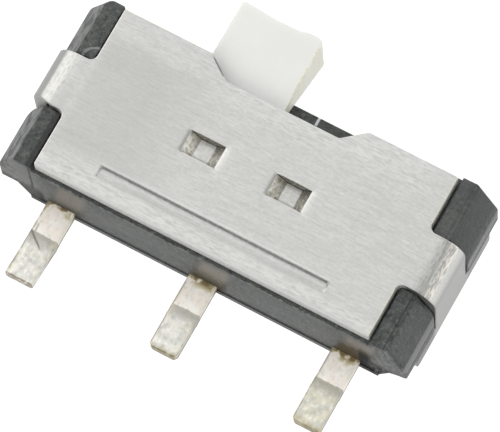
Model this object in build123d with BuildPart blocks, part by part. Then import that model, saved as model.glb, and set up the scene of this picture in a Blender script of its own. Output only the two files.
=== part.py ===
# Surface-mount slide switch with a side lever.
#
# A moulded base holds three insert-moulded gull-wing terminals. A stamped cover
# folds down over both ends and hooks under the base's corner posts. Between
# them a moulded slider runs left and right. Its lever leaves through the rear
# wall, and a sprung bridge contact under it joins the middle terminal to one
# of the outer two.
#
# Millimetres. X runs along the row of terminals, +Y points to the lever and
# +Z up from the board. The origin lies on the board under the base's middle.

import os

from build123d import *

os.makedirs("parts", exist_ok=True)

# Overall sizes
height = 1.75
running_gap = 0.04

# Sheet-metal cover
sheet = 0.25
end_margin = 1.025
corner_cut = 0.625
plate_depth = 2.85
lug_width = 0.95
bend_radius = 0.15
relief_radius = 0.10
ear_width = 2.38
ear_top = 0.42
ear_bottom = 0.08
ear_corner = 0.08
notch_mouth = 2.70
notch_width = 1.92
notch_depth = 0.30
notch_round = 0.05
bridge_spacing = 1.48
bridge_length = 0.60
bridge_width = 0.36
bridge_drop = 0.16
bridge_floor = 0.26
shear_gap = 0.012
groove_length = 3.96
groove_width = 0.19
groove_depth = 0.05
groove_from_front = 0.28

# Moulded base
wall_proud = 0.065
side_wall = 0.39
end_wall_thickness = 0.595
base_bottom = 0.10
post_drop = 0.10
post_gap = 0.06
post_land = 0.275
post_proud = 0.03
slope_drop = 0.65
ear_gap = 0.16
undercut_setback = 0.225
undercut_gap = 0.01
lip_height = 0.13
lip_reach = 0.02
cavity_corner = 0.15
recess_gap = 0.03
recess_side_gap = 0.015
slot_drop = 0.48
plinth_inset = 0.25
plinth_corner = 0.20

# Gull-wing terminals
pitch = 2.50
terminal_width = 0.48
terminal_sheet = 0.20
shoulder_bottom = 0.15
shoulder_reach = 0.48
foot_start = 0.62
foot_reach = 1.21
terminal_bend = 0.06
foot_corner = 0.06
pad_depth = 1.00
pad_margin = 0.39
common_pad_width = 0.90

# Slider and lever
travel = 1.44
slider_lift = 0.25
lever_width = 1.43
lever_step = 0.02
lever_reach = 1.02
tip_thickness = 0.97
scoop_depth = 0.045
scoop_land = 0.28
lever_edge = 0.05
pocket_depth = 0.03

# Bridge contact under the slider
contact_sheet = 0.08
contact_width = 0.50
contact_bar = 0.60
contact_pocket_height = 0.14
contact_bend = 0.12
contact_toe = 0.14
contact_toe_rise = 0.08
touch_gap = 0.01
stake_radius = 0.10
stake_gap = 0.01
stake_head_radius = 0.17
stake_head_height = 0.05

# Places and sizes that follow from those above
wall_top = height - sheet
cover_length = 2 * (pitch + end_margin)
plate_length = cover_length - 2 * corner_cut
lug_inner = cover_length / 2 - sheet
base_depth = plate_depth + 2 * wall_proud
base_front = base_depth / 2
end_wall = lug_inner - recess_gap
cavity_length = 2 * (end_wall - end_wall_thickness)
cavity_depth = base_depth - 2 * side_wall
floor_top = shoulder_bottom + terminal_sheet
post_top = height - post_drop
post_inner = plate_length / 2 + post_gap
post_land_edge = post_inner + post_land
post_outer = cover_length / 2 + post_proud
slope_foot = post_top - slope_drop
undercut_top = ear_top + ear_gap
undercut_inner = lug_inner - undercut_setback
undercut_outer = lug_inner - undercut_gap
recess_width = lug_width + 2 * recess_side_gap
slot_floor = wall_top - slot_drop
bridge_xs = (-bridge_spacing / 2, bridge_spacing / 2)
slider_rest = -travel / 2
slider_length = cavity_length - travel - 2 * running_gap
slider_depth = cavity_depth - 2 * running_gap
slider_bottom = floor_top + slider_lift
slider_top = wall_top - running_gap
channel_width = bridge_width + 2 * running_gap
lever_top = slider_top - lever_step
lever_tip = base_front + lever_reach
neck_bottom = slot_floor + running_gap
tip_bottom = lever_top - tip_thickness
contact_spacing = travel
contact_pocket_roof = slider_bottom + contact_pocket_height
pad_inner_edge = (travel + contact_spacing) / 2 - pad_margin

# Terminals: one flat contact pad each, flush with the cavity floor, and a
# formed leg that leaves the front wall and steps down to the board.
terminals = {}
for terminal_name, side in (("terminal_left", -1), ("terminal_common", 0), ("terminal_right", 1)):
    leg_x = side * pitch
    with BuildPart() as terminal:
        with BuildSketch(Plane.YZ.offset(leg_x)):
            with BuildLine():
                FilletPolyline(
                    (0, shoulder_bottom),
                    (-base_front - shoulder_reach, shoulder_bottom),
                    (-base_front - foot_start, 0),
                    (-base_front - foot_reach, 0),
                    radius=terminal_bend,
                )
                offset(amount=terminal_sheet, side=Side.RIGHT)
            make_face()
        extrude(amount=terminal_width / 2, both=True)
        tip_corners = terminal.edges().filter_by(Axis.Z).group_by(Axis.Y)[0]
        fillet(tip_corners, foot_corner)
        with BuildSketch(Plane.XY.offset(shoulder_bottom)):
            if side == 0:
                Rectangle(common_pad_width, pad_depth)
            else:
                pad_outer_edge = pitch + terminal_width / 2
                with Locations((side * (pad_inner_edge + pad_outer_edge) / 2, 0)):
                    Rectangle(pad_outer_edge - pad_inner_edge, pad_depth)
        extrude(amount=terminal_sheet)
    terminal.part.label = terminal_name
    export_step(terminal.part, f"parts/{terminal_name}.step")
    terminals[terminal_name] = terminal.part

# Base: one moulding whose end section carries the corner posts, their sloped
# outer faces and the undercut that the cover's ears hook below.
with BuildPart() as base:
    with BuildSketch(Plane.XZ):
        with BuildLine():
            Polyline(
                (0, base_bottom),
                (undercut_inner, base_bottom),
                (undercut_outer, undercut_top),
                (post_outer, undercut_top),
                (post_outer, slope_foot),
                (post_land_edge, post_top),
                (post_inner, post_top),
                (post_inner, wall_top),
                (0, wall_top),
                close=True,
            )
        make_face()
        mirror(about=Plane.YZ)
    extrude(amount=base_front, both=True)

    # A low lip runs along the foot of the front and rear walls.
    with BuildSketch(Plane.XY.offset(base_bottom)):
        Rectangle(2 * undercut_inner, base_depth + 2 * lip_reach)
    extrude(amount=lip_height)

    # The plinth that stands on the board.
    plinth_length = 2 * (undercut_inner - plinth_inset)
    plinth_depth = base_depth - 2 * plinth_inset
    with BuildSketch(Plane.XY):
        RectangleRounded(plinth_length, plinth_depth, plinth_corner)
    extrude(amount=base_bottom)

    # The cavity for the slider.
    with BuildSketch(Plane.XY.offset(floor_top)):
        RectangleRounded(cavity_length, cavity_depth, cavity_corner)
    extrude(amount=height, mode=Mode.SUBTRACT)

    # The recess at each end that the cover's lug lies in. The end wall's top
    # edge is rounded to follow the inside of the fold.
    with BuildSketch(Plane.XZ):
        with BuildLine():
            Polyline(
                (post_inner, height),
                (post_inner, wall_top),
                (end_wall, wall_top),
                (end_wall, 0),
                (post_outer, 0),
                (post_outer, height),
                close=True,
            )
        recess_face = make_face()
        fold_corner = recess_face.vertices().sort_by_distance((end_wall, wall_top, 0))[0]
        fillet(fold_corner, bend_radius + recess_gap)
        mirror(about=Plane.YZ)
    extrude(amount=recess_width / 2, both=True, mode=Mode.SUBTRACT)

    # The slot in the rear wall that the lever's neck runs along.
    slot_length = lever_width + travel + 2 * running_gap
    slot_depth = base_front + lip_reach - cavity_depth / 2
    with BuildSketch(Plane.XY.offset(slot_floor)):
        with Locations((0, cavity_depth / 2 + slot_depth / 2)):
            Rectangle(slot_length, slot_depth + running_gap)
    extrude(amount=height, mode=Mode.SUBTRACT)

    # The terminals are moulded in.
    for terminal_part in terminals.values():
        add(terminal_part, mode=Mode.SUBTRACT)
base.part.label = "base"
export_step(base.part, "parts/base.step")

# Cover: one stamping. The strip with both lugs is folded along its section,
# and the flat plate with its corner cut-outs joins it on both sides.
with BuildPart() as cover:
    with BuildSketch(Plane.XZ):
        with BuildLine():
            outside = FilletPolyline(
                (-cover_length / 2, ear_bottom),
                (-cover_length / 2, height),
                (cover_length / 2, height),
                (cover_length / 2, ear_bottom),
                radius=bend_radius + sheet,
            )
            inside = FilletPolyline(
                (-lug_inner, ear_bottom),
                (-lug_inner, wall_top),
                (lug_inner, wall_top),
                (lug_inner, ear_bottom),
                radius=bend_radius,
            )
            Line(outside @ 0, inside @ 0)
            Line(outside @ 1, inside @ 1)
        make_face()
    extrude(amount=lug_width / 2, both=True)

    with BuildSketch(Plane.XY.offset(wall_top)) as plate_plan:
        Rectangle(plate_length, plate_depth)
        Rectangle(2 * (lug_inner - bend_radius), lug_width)
        fillet(plate_plan.vertices().group_by(SortBy.DISTANCE)[0], relief_radius)
    extrude(amount=sheet)

    # Ears that widen each lug below the posts.
    for ear_plane in (Plane.YZ.offset(lug_inner), Plane.YZ.offset(-lug_inner - sheet)):
        with BuildSketch(ear_plane):
            with Locations((0, (ear_bottom + ear_top) / 2)):
                RectangleRounded(ear_width, ear_top - ear_bottom, ear_corner)
        extrude(amount=sheet)

    # The notch that shows the lever's neck.
    with BuildSketch(Plane.XY.offset(wall_top)):
        with BuildLine():
            Polyline(
                (-notch_mouth / 2, plate_depth / 2),
                (-notch_width / 2, plate_depth / 2 - notch_depth),
                (notch_width / 2, plate_depth / 2 - notch_depth),
                (notch_mouth / 2, plate_depth / 2),
                close=True,
            )
        notch_face = make_face()
        fillet(notch_face.vertices().group_by(Axis.Y)[0], notch_round)
    extrude(amount=sheet, mode=Mode.SUBTRACT)

    # The coined groove near the front edge.
    groove_y = -plate_depth / 2 + groove_from_front + groove_width / 2
    with BuildSketch(Plane.XY.offset(height)):
        with Locations((0, groove_y)):
            Rectangle(groove_length, groove_width)
    extrude(amount=-groove_depth, mode=Mode.SUBTRACT)

    # Two lanced bridges: sheared front and rear, pressed down between.
    with BuildSketch(Plane.XY.offset(wall_top)):
        with Locations(*[(bridge_x, 0) for bridge_x in bridge_xs]):
            Rectangle(bridge_length, bridge_width + 2 * shear_gap)
    extrude(amount=sheet, mode=Mode.SUBTRACT)
    for bridge_x in bridge_xs:
        with BuildSketch(Plane.XZ):
            with BuildLine():
                Polyline(
                    (bridge_x - bridge_length / 2, height),
                    (bridge_x - bridge_floor / 2, height - bridge_drop),
                    (bridge_x + bridge_floor / 2, height - bridge_drop),
                    (bridge_x + bridge_length / 2, height),
                    (bridge_x + bridge_length / 2, wall_top),
                    (bridge_x + bridge_floor / 2, wall_top - bridge_drop),
                    (bridge_x - bridge_floor / 2, wall_top - bridge_drop),
                    (bridge_x - bridge_length / 2, wall_top),
                    close=True,
                )
            make_face()
        extrude(amount=bridge_width / 2, both=True)
cover.part.label = "cover"
export_step(cover.part, "parts/cover.step")

# Slider: the carriage in the cavity and the lever are one moulding, drawn at
# the left end of the travel.
with BuildPart() as slider:
    with BuildSketch(Plane.XY.offset(slider_bottom)):
        with Locations((slider_rest, 0)):
            RectangleRounded(slider_length, slider_depth, cavity_corner)
    extrude(amount=slider_top - slider_bottom)

    # The lever thickens downwards from its neck to the tip.
    with BuildSketch(Plane.YZ.offset(slider_rest)):
        with BuildLine():
            Polyline(
                (0, neck_bottom),
                (base_front, neck_bottom),
                (lever_tip, tip_bottom),
                (lever_tip, lever_top),
                (0, lever_top),
                close=True,
            )
        make_face()
    extrude(amount=lever_width / 2, both=True)
    tip_edges = slider.edges().group_by(Axis.Y)[-1]
    fillet(tip_edges.filter_by(Axis.Z), lever_edge)

    # The finger scoop across the tip.
    scoop_half = lever_width / 2 - scoop_land
    with BuildSketch(Plane.XY):
        with BuildLine():
            ThreePointArc(
                (slider_rest - scoop_half, lever_tip),
                (slider_rest, lever_tip - scoop_depth),
                (slider_rest + scoop_half, lever_tip),
            )
            Line((slider_rest + scoop_half, lever_tip), (slider_rest - scoop_half, lever_tip))
        make_face()
    extrude(amount=height, mode=Mode.SUBTRACT)

    # The channel under the cover's bridges, with a pocket for each stop.
    channel_floor = wall_top - bridge_drop - running_gap
    with BuildSketch(Plane.XY.offset(channel_floor)):
        with Locations((slider_rest, 0)):
            Rectangle(slider_length, channel_width)
    extrude(amount=height, mode=Mode.SUBTRACT)
    with BuildSketch(Plane.XY.offset(channel_floor)):
        with GridLocations(bridge_spacing, 0, 3, 1):
            with Locations((slider_rest, 0)):
                Rectangle(bridge_floor + 2 * running_gap, channel_width)
    extrude(amount=-pocket_depth, mode=Mode.SUBTRACT)

    # The pocket below for the bridge contact, and the stake that holds it.
    pocket_length = contact_bar + contact_spacing / 2
    with BuildSketch(Plane.XY.offset(slider_bottom)):
        with Locations((slider_rest, 0)):
            Rectangle(pocket_length, contact_width + 2 * running_gap)
    extrude(amount=contact_pocket_roof - slider_bottom, mode=Mode.SUBTRACT)
    stake_end = contact_pocket_roof - contact_sheet
    with BuildSketch(Plane.XY.offset(stake_end)):
        with Locations((slider_rest, 0)):
            Circle(stake_radius)
    extrude(amount=contact_sheet)
    with BuildSketch(Plane.XY.offset(stake_end)):
        with Locations((slider_rest, 0)):
            Circle(stake_head_radius)
    extrude(amount=-stake_head_height)
slider.part.label = "slider"
export_step(slider.part, "parts/slider.step")

# Bridge contact: a bronze strip staked under the slider. Its two arms reach
# down to the pads and end in upturned toes.
with BuildPart() as moving_contact:
    bar_top = contact_pocket_roof
    touch_top = floor_top + touch_gap + contact_sheet
    with BuildSketch(Plane.XZ):
        with BuildLine():
            FilletPolyline(
                (slider_rest - contact_spacing / 2 - contact_toe, touch_top + contact_toe_rise),
                (slider_rest - contact_spacing / 2, touch_top),
                (slider_rest - contact_bar / 2, bar_top),
                (slider_rest + contact_bar / 2, bar_top),
                (slider_rest + contact_spacing / 2, touch_top),
                (slider_rest + contact_spacing / 2 + contact_toe, touch_top + contact_toe_rise),
                radius=contact_bend,
            )
            offset(amount=contact_sheet, side=Side.RIGHT)
        make_face()
    extrude(amount=contact_width / 2, both=True)
    with BuildSketch(Plane.XY):
        with Locations((slider_rest, 0)):
            Circle(stake_radius + stake_gap)
    extrude(amount=height, mode=Mode.SUBTRACT)
moving_contact.part.label = "moving_contact"
export_step(moving_contact.part, "parts/moving_contact.step")
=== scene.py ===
import math

import bmesh
import bpy
from mathutils import Matrix, Vector


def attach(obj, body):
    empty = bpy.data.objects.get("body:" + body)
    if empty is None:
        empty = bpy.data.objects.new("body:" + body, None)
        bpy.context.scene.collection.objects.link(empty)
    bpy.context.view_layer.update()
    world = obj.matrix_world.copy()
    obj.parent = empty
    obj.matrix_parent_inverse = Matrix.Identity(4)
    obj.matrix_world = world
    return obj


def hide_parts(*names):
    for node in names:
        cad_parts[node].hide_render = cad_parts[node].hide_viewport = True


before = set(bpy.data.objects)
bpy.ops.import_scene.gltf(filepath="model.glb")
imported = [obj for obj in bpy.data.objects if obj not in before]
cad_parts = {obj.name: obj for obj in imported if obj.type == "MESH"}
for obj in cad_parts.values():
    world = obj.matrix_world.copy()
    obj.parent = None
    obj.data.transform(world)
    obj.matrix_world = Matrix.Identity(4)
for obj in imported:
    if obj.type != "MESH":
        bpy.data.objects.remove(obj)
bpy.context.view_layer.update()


# Terminals: three gull-wing legs stamped from brass strip and tin plated,
# moulded into the base's front wall. Each ends in a flat contact pad on the
# cavity floor. The plating is mottled, and the cut tips show the brass.
mm = 0.001
leg_pitch = 2.50
leg_count = 3
leg_width = 0.48
leg_root = -0.48
leg_tip = -2.73
leg_top_line = ((leg_root, 0.35), (-2.00, 0.35), (-2.17, 0.20), (leg_tip, 0.20))
leg_under_line = ((leg_root, 0.15), (-1.95, 0.15), (-2.11, 0.00), (leg_tip, 0.00))
leg_top_radii = (0.02, 0.30)
leg_under_radii = (0.10, 0.08)
leg_bend_steps = 8
leg_tip_corner = 0.08
leg_tip_steps = 6
leg_tip_turn = 60
leg_edge = 0.022
leg_edge_steps = 3
leg_edge_turn = 40
foot_shift = -0.035
foot_shift_start = -1.95
foot_shift_run = 0.20
left_leg_limit = -1.5
left_bend_start = -2.0
left_bend_sideways = 0.035
left_bend_forward = 0.04
left_tip_fullness = 0.7
pad_depth = 1.00
pad_low = 0.15
pad_high = 0.35
pad_rows = ((-2.74, -1.05), (-0.45, 0.45), (1.05, 2.74))
upright_height = 0.1
touching = 0.001
smooth_turn = 25.0


def connect(value, socket):
    """Links a lead to a socket, or sets a plain value on it."""
    if isinstance(value, Lead):
        value.tree.links.new(value.socket, socket)
    else:
        socket.default_value = value


class Lead:
    """A socket of a node tree. Sums and products on it add Math nodes."""

    def __init__(self, tree, socket=None):
        self.tree = tree
        self.socket = socket

    def node(self, kind, settings=None, sockets=None, output=0):
        """Any node, from its type, its settings and its sockets' values or links."""
        made = self.tree.nodes.new(kind)
        for name, value in (settings or {}).items():
            setattr(made, name, value)
        for name, value in (sockets or {}).items():
            connect(value, made.inputs[name])
        return Lead(self.tree, made.outputs[output])

    def maths(self, operation, *values):
        return self.node("ShaderNodeMath", {"operation": operation}, dict(enumerate(values)))

    def __add__(self, other):
        return self.maths("ADD", self, other)

    def __radd__(self, other):
        return self.maths("ADD", other, self)

    def __sub__(self, other):
        return self.maths("SUBTRACT", self, other)

    def __rsub__(self, other):
        return self.maths("SUBTRACT", other, self)

    def __mul__(self, other):
        return self.maths("MULTIPLY", self, other)

    def __rmul__(self, other):
        return self.maths("MULTIPLY", other, self)

    def size(self):
        return self.maths("ABSOLUTE", self)

    def wrapped(self, pitch):
        """The distance from the nearest of the places a pitch apart."""
        return self.maths("WRAP", self, pitch / 2, -pitch / 2)

    def rise(self, low, high):
        """0 up to low and 1 from high on, smooth between."""
        sockets = {"Value": self, "From Min": low, "From Max": high}
        return self.node("ShaderNodeMapRange", {"interpolation_type": "SMOOTHSTEP"}, sockets)

    def fall(self, low, high):
        """1 up to low and 0 from high on, smooth between."""
        return self.rise(high, low)

    def band(self, low, full, fade, end):
        """1 from full to fade, and 0 up to low and from end on."""
        return self.rise(low, full) * self.fall(fade, end)

    def line(self, middle, half, edge):
        """1 within half of the middle, and 0 further off than edge."""
        return (self - middle).size().fall(half, edge)

    def stretched(self, shares):
        return self.node("ShaderNodeVectorMath", {"operation": "MULTIPLY"}, {0: self, 1: shares})

    def axes(self):
        split = self.node("ShaderNodeSeparateXYZ", sockets={"Vector": self}).socket.node
        return [Lead(self.tree, split.outputs[axis]) for axis in range(3)]

    def grain(self, scale, detail):
        sockets = {"Vector": self, "Scale": scale, "Detail": detail}
        return self.node("ShaderNodeTexNoise", sockets=sockets)

    def mixed(self, *colours):
        """The first colour where this is 0, the second where it is 1."""
        first, second = [c if isinstance(c, Lead) else (*c, 1.0) for c in colours]
        factor_in, first_in, second_in, colour_out = 0, 6, 7, 2
        sockets = {factor_in: self, first_in: first, second_in: second}
        return self.node("ShaderNodeMix", {"data_type": "RGBA"}, sockets, colour_out)


def finish(name):
    """A new material: its shader and the place on the surface in millimetres."""
    coat = bpy.data.materials.new(name)
    coat.use_nodes = True
    shader = coat.node_tree.nodes["Principled BSDF"]
    start = Lead(coat.node_tree)
    metres = start.node("ShaderNodeTexCoord", output="Object")
    sockets = {"Vector": metres, "Scale": 1 / mm}
    place = start.node("ShaderNodeVectorMath", {"operation": "SCALE"}, sockets)
    return coat, shader, place


def feed(shader, **values):
    for name, value in values.items():
        connect(value, shader.inputs[name.replace("_", " ")])


def bumped(height, depth, strength):
    sockets = {"Height": height, "Distance": depth * mm, "Strength": strength}
    return height.node("ShaderNodeBump", sockets=sockets)


def painted(ground, *layers):
    """The ground colour under layers, each a mask and the colour it lays on."""
    for mask, colour in layers:
        ground = mask.mixed(ground, colour)
    return ground


def rounded_line(corners, radii, steps):
    """The corners' polyline with its inner corners rounded."""
    points = [Vector(corner) for corner in corners]
    line = [points[0]]
    for before, corner, after, radius in zip(points, points[1:], points[2:], radii):
        back = (before - corner).normalized()
        ahead = (after - corner).normalized()
        half = back.angle(ahead) / 2
        centre = corner + (back + ahead).normalized() * radius / math.sin(half)
        first = corner + back * radius / math.tan(half) - centre
        last = corner + ahead * radius / math.tan(half) - centre
        sweep = first.angle_signed(last)
        for step in range(steps + 1):
            line.append(centre + Matrix.Rotation(-sweep * step / steps, 2) @ first)
    line.append(points[-1])
    return line


def ease_edges(shell, width, segments, sharpest, wanted=None):
    """Rounds the edges that turn more than an angle, in degrees."""
    chosen = []
    for edge in shell.edges:
        if len(edge.link_faces) != 2 or edge.calc_face_angle(0.0) < math.radians(sharpest):
            continue
        if wanted is None or wanted(edge.verts[0].co, edge.verts[1].co):
            chosen.append(edge)
    bmesh.ops.bevel(
        shell,
        geom=chosen,
        offset=width,
        segments=segments,
        profile=0.5,
        affect="EDGES",
        clamp_overlap=False,
    )


def upright(a, b):
    return abs(a.z - b.z) > upright_height


def at_leg_tip(a, b):
    return upright(a, b) and max(a.y, b.y) < leg_tip + touching


def block(shell, low, high):
    """Adds a plain box, for a piece's hidden part."""
    made = bmesh.ops.create_cube(shell, size=1.0)["verts"]
    bmesh.ops.scale(shell, vec=Vector(high) - Vector(low), verts=made)
    bmesh.ops.translate(shell, vec=(Vector(low) + Vector(high)) / 2, verts=made)


def settle(name, shell, coats, turn=smooth_turn):
    """Makes an object in metres from a shell drawn in millimetres."""
    bmesh.ops.recalc_face_normals(shell, faces=shell.faces[:])
    bmesh.ops.scale(shell, vec=(mm, mm, mm), verts=shell.verts[:])
    mesh = bpy.data.meshes.new(name)
    shell.to_mesh(mesh)
    shell.free()
    for coat in coats:
        mesh.materials.append(coat)
    mesh.shade_smooth()
    mesh.set_sharp_from_angle(angle=math.radians(turn))
    piece = bpy.data.objects.new(name, mesh)
    bpy.context.scene.collection.objects.link(piece)
    return piece


tin, tin_shader, tin_place = finish("tin_plate")
tin_x, tin_y, tin_z = tin_place.axes()
clouds = tin_place.grain(6.0, 4.0)
blotches = tin_place.grain(8.0, 5.0)
fine = tin_place.stretched((15.0, 9.0, 15.0)).grain(1.0, 5.0)
wrinkle_shade = tin_place.stretched((3.0, 2.2, 3.0)).grain(1.0, 5.0)
cloudy = clouds.rise(0.40, 0.60)
along = -1 * tin_y
on_foot = along.rise(1.98, 2.02)
on_left = tin_x.fall(-1.9, -1.6)
on_right = tin_x.rise(1.5, 2.0)
leg_x = (tin_x - foot_shift * along.rise(1.95, 2.15)).wrapped(leg_pitch)
from_middle = leg_x.size()
on_side = from_middle.rise(0.222, 0.234)
# Painted shade: a dark band just past each leg's fold, where it turns down.
shade_after_fold = (along + 0.05 * blotches).band(2.018, 2.032, 2.04, 2.30)
# Painted shade: dark wrinkles and two dark creases on the crumpled left leg.
wrinkle_shade = wrinkle_shade.line(0.5, 0.004, 0.020) * along.band(1.92, 1.98, 2.40, 2.55) * on_left
long_crease_shade = (tin_x + 1.2 * (tin_y + 2.0) + 0.06 * blotches).line(-2.70, 0.010, 0.038)
long_crease_shade = long_crease_shade * along.band(1.98, 2.01, 2.16, 2.22) * on_left
short_crease_shade = (tin_x + 0.03 * blotches).line(-2.66, 0.006, 0.024)
short_crease_shade = short_crease_shade * along.band(1.84, 1.88, 1.99, 2.01) * on_left
stain_reach = 0.03 + 0.15 * clouds.rise(0.40, 0.62) + 0.015 * on_right
stain = (along - stain_reach).fall(1.37, 1.50)
deep_stain = (along - 0.6 * stain_reach).fall(1.395, 1.485)
edge_tint = from_middle.rise(0.15, 0.225) * clouds.rise(0.44, 0.56)
# Painted shade: a broken dark line along each leg's left edge.
edge_shade_line = leg_x.fall(-0.228, -0.205) * blotches.rise(0.34, 0.46)
leg_underside = 0.15 * along.fall(1.95, 2.11)
# Painted shadow: a thin dark line along the bottom of the legs' sides.
under_shadow_line = on_side * (tin_z - leg_underside).fall(0.06, 0.11)
worn_tip = (along + 0.24 * blotches).rise(2.72, 2.85) * (1 - on_left)
bare_tip = (along - 0.025 * on_left + 0.03 * blotches).rise(2.718, 2.730)
bare_tip = bare_tip * (0.55 + 0.45 * fine.rise(0.40, 0.56))
left_tip_colour = (tin_z + 0.06 * blotches).rise(0.06, 0.12).mixed((0.11, 0.095, 0.08), (0.28, 0.245, 0.20))
tip_colour = on_left.mixed((0.22, 0.19, 0.11), left_tip_colour)
# Painted light: the shoulders' tin is painted lighter than the feet's, to make up for the shade of the
# base's wall.
lightened_shoulder_colour = cloudy.mixed((0.96, 0.89, 0.815), (0.99, 0.965, 0.91))
foot_colour = cloudy.mixed((0.71, 0.715, 0.68), (0.81, 0.80, 0.73))
right_foot_colour = cloudy.mixed((0.64, 0.64, 0.56), (0.73, 0.71, 0.59))
foot_colour = on_right.mixed(foot_colour, right_foot_colour)
tin_colour = painted(
    on_foot.mixed(lightened_shoulder_colour, foot_colour),
    ((0.15 + 0.3 * on_foot) * blotches.rise(0.46, 0.74), (0.44, 0.42, 0.385)),
    ((0.3 + 0.1 * on_foot) * fine.rise(0.52, 0.74), (0.36, 0.33, 0.28)),
    (0.7 * fine.fall(0.30, 0.50), (0.98, 0.96, 0.92)),
    (0.74 * shade_after_fold, (0.30, 0.285, 0.245)),
    (0.25 * wrinkle_shade, (0.27, 0.25, 0.21)),
    (0.75 * long_crease_shade, (0.13, 0.12, 0.10)),
    (0.5 * short_crease_shade, (0.20, 0.18, 0.15)),
    (0.8 * stain, (0.52, 0.44, 0.20)),
    (0.85 * deep_stain, (0.13, 0.085, 0.03)),
    (0.3 * edge_tint, (0.72, 0.66, 0.46)),
    (0.6 * edge_shade_line, (0.22, 0.20, 0.15)),
    # painted shade on the feet's sides
    (0.35 * on_side * on_foot, (0.40, 0.37, 0.30)),
    (0.9 * under_shadow_line, (0.12, 0.105, 0.07)),
    (0.75 * worn_tip, (0.40, 0.36, 0.22)),
    (bare_tip, tip_colour),
)
feed(
    tin_shader,
    Base_Color=tin_colour,
    Metallic=0.15,
    Roughness=0.42 + 0.2 * blotches,
    Normal=bumped(clouds + 0.3 * fine, depth=0.02, strength=0.35),
)

leg_top = rounded_line(leg_top_line, leg_top_radii, leg_bend_steps)
leg_under = rounded_line(leg_under_line, leg_under_radii, leg_bend_steps)
leg = bmesh.new()
rings = []
for over, under in zip(leg_top, leg_under):
    corners = [(-1, over), (1, over), (1, under), (-1, under)]
    sideways = foot_shift * min(1.0, max(0.0, (foot_shift_start - over.x) / foot_shift_run))
    rings.append([leg.verts.new((side * leg_width / 2 + sideways, at.x, at.y)) for side, at in corners])
for ring, following in zip(rings, rings[1:]):
    for corner in range(4):
        beside = (corner + 1) % 4
        leg.faces.new((ring[corner], ring[beside], following[beside], following[corner]))
leg.faces.new(rings[0])
leg.faces.new(rings[-1])
bmesh.ops.recalc_face_normals(leg, faces=leg.faces[:])
ease_edges(leg, leg_tip_corner, leg_tip_steps, leg_tip_turn, at_leg_tip)
ease_edges(leg, leg_edge, leg_edge_steps, leg_edge_turn)
one_leg = settle("terminals", leg, [tin])

row = bpy.data.node_groups.new("terminal_row", "GeometryNodeTree")
row_inputs = (("Leg", "Geometry"), ("Pitch", "Float"), ("Count", "Int"), ("Plating", "Material"))
for socket_name, socket_kind in row_inputs:
    row.interface.new_socket(socket_name, in_out="INPUT", socket_type="NodeSocket" + socket_kind)
row.interface.new_socket("Legs", in_out="OUTPUT", socket_type="NodeSocketGeometry")
row_in = Lead(row).node("NodeGroupInput").socket.node
given = {socket.name: Lead(row, socket) for socket in row_in.outputs if socket.name}
start_x = -0.5 * given["Pitch"] * (given["Count"] - 1)
start_place = start_x.node("ShaderNodeCombineXYZ", sockets={"X": start_x})
step_place = start_x.node("ShaderNodeCombineXYZ", sockets={"X": given["Pitch"]})
stations = start_x.node(
    "GeometryNodeMeshLine",
    {"mode": "OFFSET"},
    {"Count": given["Count"], "Start Location": start_place, "Offset": step_place},
)
legs = start_x.node("GeometryNodeInstanceOnPoints", sockets={"Points": stations, "Instance": given["Leg"]})
legs = start_x.node("GeometryNodeRealizeInstances", sockets={"Geometry": legs})
legs = start_x.node("GeometryNodeSetMaterial", sockets={"Geometry": legs, "Material": given["Plating"]})
row_out = row.nodes.new("NodeGroupOutput")
row.links.new(legs.socket, row_out.inputs[0])


def grown(piece, tree, values):
    """The piece's mesh as the tree makes it, with no modifier left."""
    made = piece.modifiers.new(tree.name, "NODES")
    made.node_group = tree
    for socket in tree.interface.items_tree:
        if socket.name in values:
            made[socket.identifier] = values[socket.name]
    sight = bpy.context.evaluated_depsgraph_get()
    mesh = bpy.data.meshes.new_from_object(piece.evaluated_get(sight), depsgraph=sight)
    piece.modifiers.remove(made)
    return mesh


def in_millimetres(mesh):
    shell = bmesh.new()
    shell.from_mesh(mesh)
    bmesh.ops.scale(shell, vec=(1 / mm, 1 / mm, 1 / mm), verts=shell.verts[:])
    return shell


row_mesh = grown(one_leg, row, {"Pitch": leg_pitch * mm, "Count": leg_count, "Plating": tin})
bpy.data.objects.remove(one_leg)
row_shell = in_millimetres(row_mesh)
for pad_left, pad_right in pad_rows:
    block(row_shell, (pad_left, -pad_depth / 2, pad_low), (pad_right, pad_depth / 2, pad_high))
for vert in row_shell.verts:
    if vert.co.x < left_leg_limit and vert.co.y < left_bend_start:
        from_axis = vert.co.x + leg_pitch - foot_shift
        corner_x = abs(from_axis) - (leg_width / 2 - leg_tip_corner)
        corner_y = leg_tip + leg_tip_corner - vert.co.y
        if corner_x > 0 and corner_y > 0:
            to_square = math.hypot(corner_x, corner_y) / max(corner_x, corner_y) - 1
            vert.co.x += math.copysign(left_tip_fullness * to_square * corner_x, from_axis)
            vert.co.y -= left_tip_fullness * to_square * corner_y
        vert.co.x -= left_bend_sideways * (left_bend_start - vert.co.y)
        vert.co.y -= left_bend_forward * (left_bend_start - vert.co.y)
terminals = settle("terminals", row_shell, [tin])
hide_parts("terminal_left", "terminal_common", "terminal_right")
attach(terminals, "housing")


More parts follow.
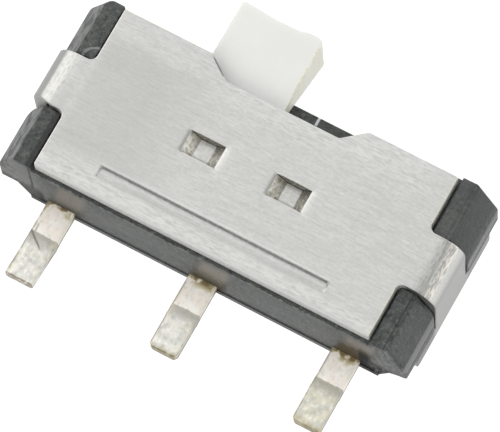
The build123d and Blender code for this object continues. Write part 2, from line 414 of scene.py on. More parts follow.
# Base: one black moulding of glass-filled plastic, with a corner post at each
# end of both long walls. The posts' outer faces slope and their corners are
# eased, most at the back left. The glass fibres leave fine specks and grain.
front_wall = -1.44
front_draft = 0.02
draft_top = 0.5
worn_foot_x, worn_foot_y, worn_foot_top = 3.4, -1.3, 0.7
worn_lift = 0.11
post_inside = 2.96
post_ledge = 1.45
post_spread = 0.022
back_right_spread = 0.012
spread_slack = 0.005
post_start = 3.10
post_end = 1.40
post_foot = 0.5
recess_side = 0.49
recess_foot = 0.9
recess_slack = 0.01
lug_post_start = 3.5
lug_corner = 0.15
worn_corner = 0.13
post_corner = 0.05
recess_corner = 0.04
corner_turn = 40
broad_steps = 6
corner_steps = 4
base_edge = 0.018
base_edge_steps = 2
base_edge_turn = 30
base_edge_shortest = 0.12
merged_within = 0.0005
flat_within = 1.0


def copied(node):
    """A CAD node's solid as a merged shell in millimetres."""
    shell = in_millimetres(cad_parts[node].data)
    bmesh.ops.remove_doubles(shell, verts=shell.verts[:], dist=merged_within)
    flat = math.radians(flat_within)
    bmesh.ops.dissolve_limit(shell, angle_limit=flat, verts=shell.verts[:], edges=shell.edges[:])
    return shell


def at_post_corner(a, b):
    outside = min(abs(a.x), abs(b.x)) > post_start and min(abs(a.y), abs(b.y)) > post_end
    return outside and upright(a, b) and min(a.z, b.z) > post_foot


def at_worn_corner(a, b):
    return at_post_corner(a, b) and a.x < 0 and a.y > 0


def at_lug_corner(a, b):
    beside_lug = max(abs(a.y + recess_side), abs(b.y + recess_side)) < recess_slack
    return beside_lug and min(abs(a.x), abs(b.x)) > lug_post_start and upright(a, b)


def at_recess_corner(a, b):
    beside_lug = max(abs(abs(a.y) - recess_side), abs(abs(b.y) - recess_side)) < recess_slack
    on_post = min(abs(a.x), abs(b.x)) > post_start and min(a.z, b.z) > recess_foot
    return beside_lug and on_post and upright(a, b)


def long_enough(a, b):
    return (a - b).length > base_edge_shortest


black, black_shader, black_place = finish("black_plastic")
black_x, black_y, black_z = black_place.axes()
black_clouds = black_place.grain(5.0, 4.0)
black_grain = black_place.stretched((1.0, 1.0, 0.4)).grain(16.0, 6.0)
black_fine = black_place.grain(30.0, 3.0)
black_specks = black_place.grain(46.0, 2.0)
slope_streaks = black_place.stretched((9.0, 5.0, 9.0)).grain(1.0, 5.0)
outward = black_x.size()
forward = -1 * black_y
at_back = black_y.rise(-0.1, 0.1)
at_front = 1 - at_back
by_right_leg = black_x.rise(1.0, 2.0)
by_left_leg = black_x.fall(-2.0, -1.0)
on_top = black_z.rise(1.60, 1.62)
on_wall_top = black_z.rise(1.46, 1.48) * outward.fall(2.86, 2.90)
front_face = (forward - 0.03 * black_z).rise(1.42, 1.44)
# A thin dark line along the outer edge of the corner posts' lands.
land_edge_line = black_x.band(3.150, 3.160, 3.170, 3.182) * black_z.rise(1.55, 1.60)
by_legs = (black_x - 0.2 * black_z - 0.01).wrapped(leg_pitch).size()
# Painted reflection: warm slanted patches on the front wall above each leg, the legs mirrored in its gloss.
leg_reflection = front_face * by_legs.fall(0.16, 0.32) * black_z.band(0.40, 0.75, 1.35, 1.50)
leg_reflection = leg_reflection * (1 - 0.2 * by_right_leg - 0.2 * by_left_leg)
# The front wall is darker and browner just above each leg's root.
dark_height = black_z - 0.4 * black_grain - 0.2 * by_right_leg
dark_above_legs = front_face * by_legs.fall(0.22, 0.34) * dark_height.fall(0.28, 0.85)
dark_above_legs = dark_above_legs * (0.25 + 0.40 * black_x.rise(-1.8, -0.8) + 0.35 * by_right_leg)
smear = front_face * black_x.band(2.70, 2.76, 2.86, 2.96) * black_z.fall(0.75, 1.15)
# Painted shade and highlight at the foot of the front wall: a dark line above the lip and a light line on
# it.
lip_shade_line = front_face * black_z.band(0.222, 0.236, 0.275, 0.295)
lip_highlight_line = front_face * black_z.band(0.150, 0.170, 0.215, 0.225)
# Painted light: the outer part of the wall top's front ledge is lightened.
wall_edge_light = on_wall_top * (0.10 * black_grain + forward).rise(1.520, 1.550)
outer_band = outward.rise(3.535, 3.552)
# Painted light and shadow on the posts' outer ends: the upper band and the slope's foot are lit, the band
# below is dark as in shadow.
lit_band = outer_band * black_z.rise(0.72, 0.80)
shaded_band = outer_band * (black_z - 0.28 * at_front).fall(0.66, 0.72)
lit_slope_end = black_x.rise(3.495, 3.515) * black_z.rise(0.97, 1.00) * at_front
back_land = black_x.band(2.9, 2.95, 3.22, 3.24) * at_back * on_top
left_slope = black_x.fall(-3.24, -3.20) * black_z.rise(0.95, 1.02)
# Painted shade on the right posts' slopes, more at the back.
shaded_right_slope = black_x.band(3.22, 3.25, 3.49, 3.51) * black_z.rise(1.0, 1.02)
# A small light crescent on the back-left post's land, by the lug.
crescent_x = black_x + 2.93
crescent_y = black_y - 0.50
crescent_reach = black_x.maths("SQRT", crescent_x * crescent_x + crescent_y * crescent_y)
light_crescent = crescent_reach.line(0.20, 0.012, 0.030) * on_top * black_grain.rise(0.36, 0.46)
corner_low = front_face * outward.rise(2.75, 2.90) * (black_z - 0.4 * black_grain).fall(0.30, 0.62)
scuffs = front_face * black_x.rise(2.84, 2.96) * black_grain.rise(0.44, 0.62)
front_seam = (black_x + 0.08 * black_grain).line(-2.93, 0.008, 0.030)
front_seam = front_seam * front_face * black_z.rise(0.5, 0.7)
# Painted shade: a ragged dark line on the front-left post's land along its gap to the cover.
post_gap_shade = (black_x + 0.10 * black_grain).rise(-3.00, -2.97) * black_x.fall(-2.90, -2.88)
post_gap_shade = post_gap_shade * on_top * at_front
left_front = front_face * black_x.fall(-2.95, -2.80)
# Painted light: the wall top under the cover's front edge is lightened a little.
under_cover_light = on_wall_top * forward.rise(1.38, 1.42)
# A thin white streak at the lever's slot in the rear wall.
slot_streak = black_x.line(0.446, 0.014, 0.028) * black_y.rise(1.33, 1.36)
slot_streak = slot_streak * black_z.band(0.96, 0.98, 1.04, 1.09)
black_colour = painted(
    black_clouds.rise(0.35, 0.65).mixed((0.033, 0.040, 0.037), (0.050, 0.057, 0.053)),
    (black_grain.fall(0.32, 0.48), (0.011, 0.013, 0.013)),
    (black_grain.rise(0.54, 0.72), (0.105, 0.108, 0.104)),
    (0.45 * black_fine.rise(0.54, 0.70), (0.105, 0.108, 0.104)),
    (0.45 * black_fine.fall(0.30, 0.46), (0.012, 0.013, 0.013)),
    (black_specks.rise(0.66, 0.74), (0.17, 0.17, 0.165)),
    (0.75 * land_edge_line, (0.010, 0.011, 0.011)),
    (leg_reflection, (0.155, 0.140, 0.118)),
    (dark_above_legs, (0.052, 0.036, 0.012)),
    (smear, (0.001, 0.002, 0.002)),
    (0.55 * lip_shade_line, (0.006, 0.006, 0.006)),
    (0.7 * lip_highlight_line, (0.14, 0.14, 0.14)),
    (0.6 * wall_edge_light, (0.18, 0.18, 0.175)),
    ((0.7 - 0.15 * at_back) * lit_band, (0.20, 0.205, 0.20)),
    (0.8 * lit_slope_end, (0.20, 0.205, 0.20)),
    (shaded_band, (0.004, 0.004, 0.004)),
    (0.3 * back_land, (0.11, 0.112, 0.11)),
    # painted highlight streaks on the left posts' slopes
    (0.6 * left_slope * slope_streaks.fall(0.40, 0.54), (0.11, 0.11, 0.11)),
    ((0.25 + 0.40 * at_back) * shaded_right_slope, (0.012, 0.013, 0.013)),
    (0.5 * light_crescent, (0.30, 0.29, 0.32)),
    (0.75 * corner_low, (0.010, 0.011, 0.011)),
    (0.5 * scuffs, (0.16, 0.165, 0.165)),
    (0.8 * front_seam, (0.004, 0.004, 0.004)),
    (0.75 * post_gap_shade, (0.003, 0.003, 0.003)),
    (0.45 * left_front, (0.14, 0.145, 0.14)),
    (0.06 * under_cover_light, (0.16, 0.16, 0.155)),
    (slot_streak, (0.60, 0.62, 0.64)),
)
black_rough = 0.34 + 0.22 * black_grain + 0.08 * front_face
black_rough = black_rough + 0.60 * (dark_above_legs + smear + corner_low + front_seam)
black_rough = black_rough + 0.22 * left_slope * slope_streaks.rise(0.48, 0.62)
feed(
    black_shader,
    Base_Color=black_colour,
    Roughness=black_rough,
    Normal=bumped(black_grain + 0.6 * black_specks, depth=0.02, strength=0.8),
)

base_shell = copied("base")
for vert in base_shell.verts:
    if vert.co.y < front_wall and vert.co.z < draft_top:
        vert.co.y += front_draft
    if vert.co.x > worn_foot_x and vert.co.y < worn_foot_y and vert.co.z < worn_foot_top:
        vert.co.z += worn_lift
    if vert.co.z > post_ledge and abs(abs(vert.co.x) - post_inside) < spread_slack:
        spread = back_right_spread if vert.co.x > 0 and vert.co.y > 0 else post_spread
        vert.co.x -= math.copysign(spread, vert.co.x)
ease_edges(base_shell, lug_corner, broad_steps, corner_turn, at_lug_corner)
ease_edges(base_shell, worn_corner, broad_steps, corner_turn, at_worn_corner)
ease_edges(base_shell, post_corner, corner_steps, corner_turn, at_post_corner)
ease_edges(base_shell, recess_corner, corner_steps, corner_turn, at_recess_corner)
ease_edges(base_shell, base_edge, base_edge_steps, base_edge_turn, long_enough)
base = settle("base_moulding", base_shell, [black])
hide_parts("base")
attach(base, "housing")


# Moving contact: a sprung bronze strip staked under the slider. It joins the
# middle pad to one of the outer two and is out of sight in the cavity, so the
# CAD's own shape stays.
bronze, bronze_shader, bronze_place = finish("contact_bronze")
bronze_lines = bronze_place.stretched((2.0, 40.0, 40.0)).grain(1.0, 3.0)
feed(
    bronze_shader,
    Base_Color=bronze_lines.mixed((0.55, 0.33, 0.15), (0.70, 0.46, 0.22)),
    Metallic=1.0,
    Roughness=0.25 + 0.2 * bronze_lines,
)
contact_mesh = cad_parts["moving_contact"].data
contact_mesh.materials.clear()
contact_mesh.materials.append(bronze)


# Slider: one moulding of white plastic. Its carriage runs in the cavity and
# its lever leaves through the rear wall, with a finger scoop across the tip
# and a rounded horn at the right.
lever_root = 1.30
lever_cut = 1.40
lever_left = -1.435
lever_right = -0.005
lever_bottom = 1.06
lever_top = 1.44
lever_slope_start = 1.49
lever_tip_bottom = 0.47
lever_tip_y = 2.51
lever_outline = (
    (lever_left, lever_root, 0.0),
    (lever_right, lever_root, 0.0),
    (lever_right, 2.515, 0.13),
    (-0.30, 2.505, 0.10),
    (-0.42, 2.470, 0.25),
    (-0.80, 2.462, 0.60),
    (lever_left, 2.505, 0.05),
)
lever_corner_steps = 8
lever_edge = 0.03
lever_edge_steps = 3
lever_edge_turn = 40
root_slack = 0.01


def rounded_ring(corners, steps):
    """A closed outline with each corner (x, y, radius) rounded."""
    ring = []
    count = len(corners)
    for index, (x, y, radius) in enumerate(corners):
        if radius == 0.0:
            ring.append(Vector((x, y)))
            continue
        before = corners[index - 1][:2]
        after = corners[(index + 1) % count][:2]
        ring.extend(rounded_line((before, (x, y), after), (radius,), steps)[1:-1])
    return ring


def past_root(a, b):
    return max(a.y, b.y) > lever_root + root_slack


def joined(first, second):
    """One closed shell from two that overlap."""
    parts = []
    for shell in (first, second):
        bmesh.ops.recalc_face_normals(shell, faces=shell.faces[:])
        mesh = bpy.data.meshes.new("joining")
        shell.to_mesh(mesh)
        shell.free()
        part = bpy.data.objects.new("joining", mesh)
        bpy.context.scene.collection.objects.link(part)
        parts.append(part)
    union = parts[0].modifiers.new("join", "BOOLEAN")
    union.operation = "UNION"
    union.object = parts[1]
    union.solver = "EXACT"
    sight = bpy.context.evaluated_depsgraph_get()
    result = bmesh.new()
    result.from_mesh(parts[0].evaluated_get(sight).to_mesh())
    for part in parts:
        bpy.data.objects.remove(part)
    return result


white, white_shader, white_place = finish("white_plastic")
white_x, white_y, _ = white_place.axes()
white_clouds = white_place.grain(2.5, 3.0)
white_grain = white_place.grain(22.0, 3.0)
# Painted sheen: the lever's right flank is tinted yellowish, with a yellow line along its edge.
right_flank_sheen = white_x.rise(-0.050, -0.012)
flank_line = white_x.line(-0.025, 0.006, 0.022) * white_grain.rise(0.44, 0.60) * white_y.rise(1.40, 1.50)
white_colour = painted(
    white_clouds.mixed((0.675, 0.68, 0.66), (0.71, 0.715, 0.70)),
    (0.6 * right_flank_sheen, (0.74, 0.73, 0.60)),
    (0.5 * flank_line, (0.50, 0.46, 0.26)),
)
feed(
    white_shader,
    Base_Color=white_colour,
    Roughness=0.42 + 0.15 * white_grain,
    Normal=bumped(white_grain, depth=0.004, strength=0.4),
    Subsurface_Weight=0.35,
    Subsurface_Radius=(1.0, 0.9, 0.7),
    Subsurface_Scale=0.25 * mm,
)

carriage = copied("slider")
cut = bmesh.ops.bisect_plane(
    carriage,
    geom=carriage.verts[:] + carriage.edges[:] + carriage.faces[:],
    plane_co=(0, lever_cut, 0),
    plane_no=(0, 1, 0),
    clear_outer=True,
)
cut_edges = [part for part in cut["geom_cut"] if isinstance(part, bmesh.types.BMEdge)]
bmesh.ops.holes_fill(carriage, edges=cut_edges, sides=0)
lever = bmesh.new()
lever_ring = rounded_ring(lever_outline, lever_corner_steps)
over = [lever.verts.new((at.x, at.y, lever_top)) for at in lever_ring]
under = []
for at in lever_ring:
    lean = max(0.0, at.y - lever_slope_start) / (lever_tip_y - lever_slope_start)
    height = lever_bottom + lean * (lever_tip_bottom - lever_bottom)
    under.append(lever.verts.new((at.x, at.y, height)))
lever.faces.new(over)
for index in range(len(lever_ring)):
    following = (index + 1) % len(lever_ring)
    lever.faces.new((over[index], under[index], under[following], over[following]))
underside = lever.faces.new(under[::-1])
bmesh.ops.triangulate(lever, faces=[underside])
bmesh.ops.recalc_face_normals(lever, faces=lever.faces[:])
ease_edges(lever, lever_edge, lever_edge_steps, lever_edge_turn, past_root)
slider = settle("slider_and_lever", joined(carriage, lever), [white])
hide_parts("slider")
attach(slider, "slider")


# Cover: one stamping of bright nickel-plated steel, brushed along its length.
# Two bridges are lanced from the plate, a groove is coined near the front, and
# the lugs fold down at the ends, with ears that hook below the posts.
cover_top = 1.75
cover_sheet = 0.25
plate_end = 2.90
plate_front = 1.425
plate_corner = 0.03
right_lug = ((-0.475, -0.475), 0.475)
left_lug = ((-0.475, -0.390), 0.455)
right_ear = (-1.09, 1.26)
left_ear = (-1.19, 1.19)
ear_root = 0.03
ear_shoulder = 0.06
ear_corner = 0.08
relief = 0.11
fold_start = 3.125
fold_radius = 0.40
fold_steps = 16
fold_length = fold_radius * math.pi / 2
ear_low, ear_high = 0.08, 0.42
lug_out = fold_start + fold_length
lug_line_gap = 0.3
lug_line_count = 3
ear_out = lug_out + cover_top - fold_radius - ear_high
blank_out = lug_out + cover_top - fold_radius - ear_low
notch_y = 1.127
notch = (
    (1.36, plate_front, 0.10),
    (1.00, notch_y, 0.10),
    (-0.95, notch_y, 0.05),
    (-1.36, plate_front, 0.05),
)
blank_corner_steps = 6
bridge_middles = (-0.74, 0.75)
bridge_half = 0.30
bridge_floor_half = 0.13
bridge_side = 0.18
bridge_gap = 0.012
bridge_drop = 0.16
bridge_dish = 0.195
bridge_u_lines = (bridge_half, bridge_floor_half, 0.21, 0.34, 0.38, 0.43, 0.50, 0.60)
bridge_v_lines = (0.09, bridge_side, bridge_side + bridge_gap, 0.25, 0.32, 0.42)
bridge_slack = 0.01
dimple_depth = 0.018
dimple_reach = 0.055
dimple_sideways = 0.6
dimple_power = 6
groove_end = 1.98
groove_back = -0.955
groove_front = -1.145
groove_slope_back = 0.035
groove_slope_front = 0.080
groove_depth = 0.034
press_slack = 1e-5
cut_slack = 1e-6
blank_merge = 0.002
cover_edge = 0.020
cover_edge_steps = 2
cover_edge_turn = 50
cover_smooth_turn = 20.0


def end_outline(lug, ear):
    """One end of the flat blank: half the plate's edge, the lug and its ears."""
    (front, wall_front), back = lug
    ear_front, ear_back = ear
    return (
        (plate_end, -plate_front, plate_corner),
        (plate_end, front, relief),
        (fold_start, front, 0.0),
        (fold_start + 0.5 * fold_length, wall_front, 0.0),
        (ear_out, wall_front, ear_root),
        (ear_out, ear_front, ear_shoulder),
        (blank_out, ear_front, ear_corner),
        (blank_out, ear_back, ear_corner),
        (ear_out, ear_back, ear_shoulder),
        (ear_out, back, ear_root),
        (plate_end, back, relief),
        (plate_end, plate_front, plate_corner),
    )


left_end = tuple((-x, y, radius) for x, y, radius in end_outline(left_lug, left_ear)[::-1])
blank_outline = end_outline(right_lug, right_ear) + notch + left_end


def fold(u, v, depth):
    """A point of the flat blank, some way into the sheet, after folding."""
    side = math.copysign(1.0, u)
    reach = abs(u)
    inner = fold_radius - depth
    if reach <= fold_start:
        return Vector((u, v, cover_top - depth))
    if reach >= lug_out:
        drop = reach - lug_out
        return Vector((side * (fold_start + inner), v, cover_top - fold_radius - drop))
    turn = (reach - fold_start) / fold_radius
    across = fold_start + inner * math.sin(turn)
    return Vector((side * across, v, cover_top - fold_radius + inner * math.cos(turn)))


def pressed(u, v, depth):
    """How far the press tools push a point of the plate down."""
    drop = 0.0
    for middle in bridge_middles:
        reach = abs(u - middle)
        if reach < bridge_half + press_slack and abs(v) < bridge_side + press_slack:
            share = (bridge_half - reach) / (bridge_half - bridge_floor_half)
            deep = bridge_drop if depth else bridge_dish
            drop = max(drop, dimple_depth + (deep - dimple_depth) * min(1.0, max(0.0, share)))
        else:
            beside = dimple_sideways * max(0.0, abs(v) - bridge_side)
            past = math.hypot(max(0.0, reach - bridge_half), beside)
            near_end = min(1.0, (reach / bridge_half) ** dimple_power)
            drop = max(drop, dimple_depth * near_end * math.exp(-((past / dimple_reach) ** 2)))
    if depth == 0.0 and abs(u) < groove_end - groove_slope_back + press_slack:
        floor_front = groove_front + groove_slope_front - press_slack
        floor_back = groove_back - groove_slope_back + press_slack
        if floor_front < v < floor_back:
            drop = groove_depth
    return drop


def from_bridges(x):
    return min(abs(x - middle) for middle in bridge_middles)


def outside_bridges(a, b):
    middle = (a + b) / 2
    beside = abs(middle.y) < bridge_side + bridge_gap + bridge_slack
    return not (beside and from_bridges(middle.x) < bridge_half + bridge_slack)


u_lines = []
for side in (-1, 1):
    u_lines += [side * (fold_start + fold_length * step / fold_steps) for step in range(fold_steps + 1)]
    u_lines += [side * (lug_out + lug_line_gap * step) for step in range(1, lug_line_count + 1)]
    u_lines += [side * groove_end, side * (groove_end - groove_slope_back)]
for middle in bridge_middles:
    for reach in bridge_u_lines:
        u_lines += [middle - reach, middle + reach]
v_lines = [groove_front, groove_front + groove_slope_front, groove_back - groove_slope_back, groove_back]
for reach in bridge_v_lines:
    v_lines += [-reach, reach]

blank = bmesh.new()
blank_ring = rounded_ring(blank_outline, blank_corner_steps)
blank.faces.new([blank.verts.new((at.x, at.y, 0.0)) for at in blank_ring])
for axis, lines in ((Vector((1, 0, 0)), u_lines), (Vector((0, 1, 0)), v_lines)):
    for line in lines:
        whole = blank.verts[:] + blank.edges[:] + blank.faces[:]
        bmesh.ops.bisect_plane(blank, geom=whole, dist=cut_slack, plane_co=axis * line, plane_no=axis)
bmesh.ops.remove_doubles(blank, verts=blank.verts[:], dist=blank_merge)
slits = []
for face in blank.faces:
    at = face.calc_center_median()
    if from_bridges(at.x) < bridge_half and bridge_side < abs(at.y) < bridge_side + bridge_gap:
        slits.append(face)
bmesh.ops.delete(blank, geom=slits, context="FACES")
blank.verts.index_update()

stamping = bmesh.new()
layers = []
for depth in (0.0, cover_sheet):
    layer = []
    for vert in blank.verts:
        u, v = vert.co.x, vert.co.y
        layer.append(stamping.verts.new(fold(u, v, depth) - Vector((0, 0, pressed(u, v, depth)))))
    layers.append(layer)
upper, lower = layers
for face in blank.faces:
    ring = [vert.index for vert in face.verts]
    stamping.faces.new([upper[index] for index in ring])
    stamping.faces.new([lower[index] for index in ring[::-1]])
for edge in blank.edges:
    if len(edge.link_faces) == 1:
        a, b = edge.verts[0].index, edge.verts[1].index
        sheared_face = stamping.faces.new((upper[a], upper[b], lower[b], lower[a]))
        sheared_face.material_index = 1
blank.free()
bmesh.ops.recalc_face_normals(stamping, faces=stamping.faces[:])
ease_edges(stamping, cover_edge, cover_edge_steps, cover_edge_turn, outside_bridges)

steel, steel_shader, steel_place = finish("cover_steel")
steel_x, steel_y, steel_z = steel_place.axes()
brushing = steel_place.stretched((3.6, 66.0, 66.0)).grain(1.0, 4.0)
broad = steel_place.stretched((0.7, 9.0, 9.0)).grain(1.0, 3.0)
pits = steel_place.grain(30.0, 3.0)
plate_grain = steel_place.stretched((8.0, 34.0, 34.0)).grain(1.0, 4.0)
plate_specks = steel_place.stretched((18.0, 24.0, 24.0)).grain(1.0, 3.0)
dirt = steel_place.grain(19.0, 4.0)
streaks = steel_place.stretched((40.0, 9.0, 40.0)).grain(1.0, 4.0)


def over_bridges(low, full, fade, end):
    """The same band across each bridge, from the bridge's middle."""
    first, second = [(steel_x - middle).band(low, full, fade, end) for middle in bridge_middles]
    return first + second


to_front = -1 * steel_y
aside = steel_y.size()
endward = steel_x.size()
on_plate = steel_z.rise(1.70, 1.74)
bright_grain = plate_grain.fall(0.40, 0.62)
# Painted highlight: a cream line along the plate's right end beside the posts.
right_rim_highlight = steel_x.band(2.872, 2.884, 2.915, 2.93) * aside.rise(0.56, 0.62)
rolled_edge = to_front.rise(1.392, 1.402) * steel_z.rise(1.70, 1.72)
in_bridge = aside.fall(0.185, 0.19)
left_ramp = over_bridges(-0.305, -0.28, -0.16, -0.12)
right_ramp = over_bridges(0.12, 0.16, 0.28, 0.305)
right_window_shade = steel_x.rise(0.0, 0.1) * (left_ramp + right_ramp) * in_bridge
bridge_front_shadow = over_bridges(-0.31, -0.28, 0.28, 0.31) * in_bridge * to_front.rise(0.095, 0.135)
beside_bridge = aside.fall(0.16, 0.21)
# Painted highlight just past each window's right end and painted shade just before its left end, where the
# plate dips into the bridge.
dimple_highlight = over_bridges(0.296, 0.304, 0.318, 0.340) * beside_bridge
dimple_shade = over_bridges(-0.37, -0.31, -0.304, -0.296) * beside_bridge
window_dirt = endward.fall(1.06, 1.08) * in_bridge * steel_z.fall(1.72, 1.74)
window_dirt = window_dirt * (0.25 + left_ramp + 0.6 * right_ramp)
# Painted shade: a dark line along the notch's left slanted edge beside the lever.
notch_edge_shade = (0.588 * steel_x + 0.809 * steel_y).rise(0.318, 0.338)
notch_edge_shade = notch_edge_shade * steel_x.band(-1.34, -1.28, -1.08, -1.0)
back_light = steel_y.rise(0.70, 1.10) * steel_x.band(-1.3, -0.6, 2.3, 2.8) * bright_grain
front_light = to_front.band(1.16, 1.22, 1.36, 1.40) * on_plate * bright_grain
by_groove = endward.fall(1.95, 1.99)
# Painted shade along the groove's back wall, ragged, a painted highlight on the rim behind it and painted
# shade at its front foot.
groove_shade_line = by_groove * steel_y.line(-0.980, 0.008, 0.058) * (0.25 + 0.5 * dirt.rise(0.36, 0.64))
groove_rim_highlight = by_groove * steel_y.line(-0.925, 0.006, 0.024)
groove_foot_shade = by_groove * steel_y.line(-1.135, 0.010, 0.040)
# Painted shade and streaky highlights across the right lug's bend.
bend_shade = steel_x.band(3.07, 3.22, 3.25, 3.31) * (0.30 + 0.50 * streaks.rise(0.42, 0.62))
bend_highlight = steel_x.band(3.26, 3.32, 3.39, 3.45) * streaks.rise(0.43, 0.57)
# Painted shade over the plate's left part.
plate_left_shade = steel_x.band(-2.95, -2.75, -2.0, -0.6) * steel_y.band(-1.05, -0.85, 0.8, 1.1) * on_plate
right_wall = steel_x.rise(0.0, 1.0) * steel_z.fall(1.40, 1.60)
left_side = steel_x.fall(-3.15, -3.05)
left_streaks = left_side * streaks.rise(0.46, 0.62)
# Painted highlight on the upper part of the left lug's bend.
left_bend_highlight = steel_x.fall(-3.16, -3.02) * steel_z.rise(1.66, 1.69) * (1 - 0.6 * streaks.rise(0.48, 0.62))
left_shade = steel_x.band(-3.20, -3.14, -3.0, -2.85) * on_plate * (0.15 + 0.25 * steel_y.fall(-0.4, 0.1))
# Painted shade on the left lug's wall below the bend.
left_wall_shade = left_side * steel_z.fall(1.65, 1.695)
ear_shade = steel_z.fall(0.42, 0.52) * (0.7 * steel_y.rise(0.50, 0.58) + 0.9 * steel_y.fall(-0.58, -0.50))
steel_colour = painted(
    brushing.rise(0.28, 0.72).mixed((0.52, 0.52, 0.505), (0.60, 0.60, 0.58)),
    (0.25 * broad.fall(0.30, 0.50), (0.46, 0.46, 0.445)),
    (0.28 * plate_grain.rise(0.50, 0.70), (0.44, 0.44, 0.43)),
    (0.28 * plate_grain.fall(0.30, 0.50), (0.70, 0.70, 0.68)),
    (0.20 * plate_specks.rise(0.50, 0.70), (0.42, 0.42, 0.41)),
    (0.16 * plate_specks.fall(0.30, 0.50), (0.74, 0.74, 0.72)),
    (0.8 * right_rim_highlight, (0.84, 0.84, 0.67)),
    (0.5 * rolled_edge, (0.62, 0.62, 0.60)),
    # painted light on the bridges' left ramps, painted shade on their right ramps and more on both ramps of
    # the right window, and a painted shadow along their front edges
    (left_ramp * in_bridge, (0.97, 0.955, 0.88)),
    (0.30 * right_ramp * in_bridge, (0.20, 0.195, 0.17)),
    (0.28 * right_window_shade, (0.24, 0.235, 0.20)),
    (0.45 * bridge_front_shadow, (0.05, 0.05, 0.045)),
    (0.6 * dimple_highlight, (0.70, 0.70, 0.69)),
    (0.75 * dimple_shade, (0.24, 0.24, 0.225)),
    (0.50 * window_dirt * dirt.rise(0.46, 0.72), (0.28, 0.26, 0.17)),
    (0.6 * window_dirt * dirt.fall(0.34, 0.50), (0.95, 0.93, 0.84)),
    (0.8 * notch_edge_shade, (0.10, 0.10, 0.095)),
    (0.45 * back_light, (0.70, 0.70, 0.68)),
    (0.4 * front_light, (0.72, 0.72, 0.70)),
    (groove_shade_line, (0.35, 0.35, 0.34)),
    (0.4 * groove_rim_highlight, (0.74, 0.74, 0.72)),
    (0.25 * groove_foot_shade, (0.40, 0.40, 0.39)),
    (bend_shade, (0.29, 0.29, 0.275)),
    (bend_highlight, (0.92, 0.885, 0.80)),
    (0.45 * plate_left_shade, (0.42, 0.42, 0.41)),
    # painted shade on the right lug's wall
    (right_wall, (0.345, 0.345, 0.34)),
    (0.35 * left_streaks, (0.38, 0.38, 0.37)),
    (0.36 * left_bend_highlight, (0.80, 0.80, 0.765)),
    (left_shade, (0.40, 0.40, 0.39)),
    (left_wall_shade, (0.335, 0.335, 0.33)),
    (ear_shade, (0.20, 0.20, 0.20)),
)
feed(
    steel_shader,
    Base_Color=steel_colour,
    Metallic=1.0,
    Roughness=0.30 + 0.12 * brushing + 0.10 * right_wall + 0.14 * left_side,
    Normal=bumped(brushing + 0.5 * broad + 0.3 * pits, depth=0.004, strength=0.5),
)

sheared, sheared_shader, sheared_place = finish("sheared_steel")
sheared_x, sheared_y, _ = sheared_place.axes()
sheared_grain = sheared_place.stretched((14.0, 14.0, 5.0)).grain(1.0, 3.0)
slit_grain = sheared_place.grain(26.0, 3.0).rise(0.40, 0.62)
by_slits = sheared_x.size().fall(1.15, 1.20) * sheared_y.size().fall(0.25, 0.30)
# Painted shade: the lugs' cut sides beside the posts are dark.
lug_side_shade = sheared_x.rise(2.98, 3.05) + sheared_x.band(-3.28, -3.19, -3.05, -2.98)
lug_side_shade = lug_side_shade * sheared_y.size().fall(0.54, 0.60)
sheared_colour = painted(
    sheared_grain.mixed((0.40, 0.40, 0.385), (0.58, 0.58, 0.56)),
    # painted shade in the bridges' slits, speckled
    (by_slits, slit_grain.mixed((0.14, 0.14, 0.12), (0.40, 0.39, 0.33))),
    (0.85 * lug_side_shade, (0.07, 0.07, 0.065)),
)
feed(
    sheared_shader,
    Base_Color=sheared_colour,
    Metallic=0.35,
    Roughness=0.50 + 0.2 * sheared_grain,
    Normal=bumped(sheared_grain, depth=0.02, strength=0.7),
)
cover = settle("cover_stamping", stamping, [steel, sheared], cover_smooth_turn)
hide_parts("cover")
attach(cover, "housing")


# Studio: white paper lit to the edge of pure white and clear from below, a soft
# surround that is darker to the front and right, and broad soft lights at the
# left and front. Gloss doesn't show the front one. The camera stands as the photo's did.
floor_reach = 0.4
floor_drop = 0.02
paper_glow = 0.92
front_darker = 0.75
right_darker = 0.52
surround_strength = 1.10
lamp_colour = (1.0, 0.97, 0.90)
lamps = (
    ("left_box", (-52, 14, 42), 50, 0.75, True),
    ("front_box", (6, -60, 60), 50, 2.3, False),
)
camera_azimuth = math.radians(36.26)
camera_elevation = math.radians(71.44)
camera_roll = math.radians(-7.73)
camera_distance = 76.63
pixels_per_mm = 65.334
picture_width, picture_height = 500, 432
subject = Vector((0.0, 0.0, 0.9))
subject_pixel = (247.97, 188.53)
nearest_seen, farthest_seen = 0.001, 10.0

floor_shell = bmesh.new()
bmesh.ops.create_grid(floor_shell, x_segments=1, y_segments=1, size=floor_reach)
bmesh.ops.translate(floor_shell, vec=(0.0, 0.0, -floor_drop * mm), verts=floor_shell.verts[:])
floor_mesh = bpy.data.meshes.new("floor")
floor_shell.to_mesh(floor_mesh)
floor_shell.free()
floor = bpy.data.objects.new("floor", floor_mesh)
bpy.context.scene.collection.objects.link(floor)
paper, paper_shader, paper_place = finish("white_paper")
paper_grain = paper_place.grain(0.4, 2.0)
feed(
    paper_shader,
    Base_Color=paper_grain.mixed((0.24, 0.24, 0.24), (0.26, 0.26, 0.26)),
    Roughness=0.9,
    Emission_Color=(1.0, 1.0, 1.0, 1.0),
    Emission_Strength=paper_glow,
    Alpha=1 - paper_grain.node("ShaderNodeNewGeometry", output="Backfacing"),
)
floor_mesh.materials.append(paper)

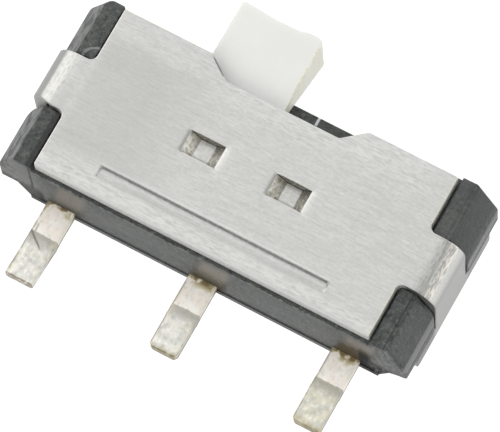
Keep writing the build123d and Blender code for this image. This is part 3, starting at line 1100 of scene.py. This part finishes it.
surround = bpy.data.worlds.new("surround")
bpy.context.scene.world = surround
surround.use_nodes = True
toward = Lead(surround.node_tree).node("ShaderNodeTexCoord", output="Generated")
sky_x, sky_y, sky_z = toward.axes()
front_dark = (-1 * sky_y).rise(0.25, 0.85) * sky_z.fall(0.25, 0.7)
right_dark = sky_x.rise(0.25, 0.75) * sky_z.rise(0.2, 0.45)
sky_light = (1 - front_darker * front_dark) * (1 - right_darker * right_dark)
feed(surround.node_tree.nodes["Background"], Color=sky_light, Strength=surround_strength)

for lamp_name, place, width, radiance, in_gloss in lamps:
    lamp = bpy.data.lights.new(lamp_name, "AREA")
    lamp.size = width * mm
    lamp.color = lamp_colour
    lamp.energy = radiance * math.pi * (width * mm) ** 2
    holder = bpy.data.objects.new(lamp_name, lamp)
    holder.location = Vector(place) * mm
    holder.rotation_euler = Vector(place).to_track_quat("Z", "Y").to_euler()
    holder.visible_glossy = in_gloss
    bpy.context.scene.collection.objects.link(holder)

sine, cosine = math.sin(camera_azimuth), math.cos(camera_azimuth)
sine_up, cosine_up = math.sin(camera_elevation), math.cos(camera_elevation)
level_right = Vector((cosine, sine, 0.0))
level_up = Vector((-sine * sine_up, cosine * sine_up, cosine_up))
toward_eye = Vector((sine * cosine_up, -cosine * cosine_up, sine_up))
eye_right = math.cos(camera_roll) * level_right + math.sin(camera_roll) * level_up
eye_up = math.cos(camera_roll) * level_up - math.sin(camera_roll) * level_right
aim = subject + eye_right * (picture_width / 2 - subject_pixel[0]) / pixels_per_mm
aim -= eye_up * (picture_height / 2 - subject_pixel[1]) / pixels_per_mm
lens = bpy.data.cameras.new("camera")
lens.lens = lens.sensor_width * pixels_per_mm * camera_distance / picture_width
lens.clip_start = nearest_seen
lens.clip_end = farthest_seen
camera = bpy.data.objects.new("camera", lens)
stance = Matrix((eye_right, eye_up, toward_eye)).transposed().to_4x4()
stance.translation = (aim + toward_eye * camera_distance) * mm
camera.matrix_world = stance
bpy.context.scene.collection.objects.link(camera)
bpy.context.scene.camera = camera
bpy.context.scene.view_settings.view_transform = "Standard"
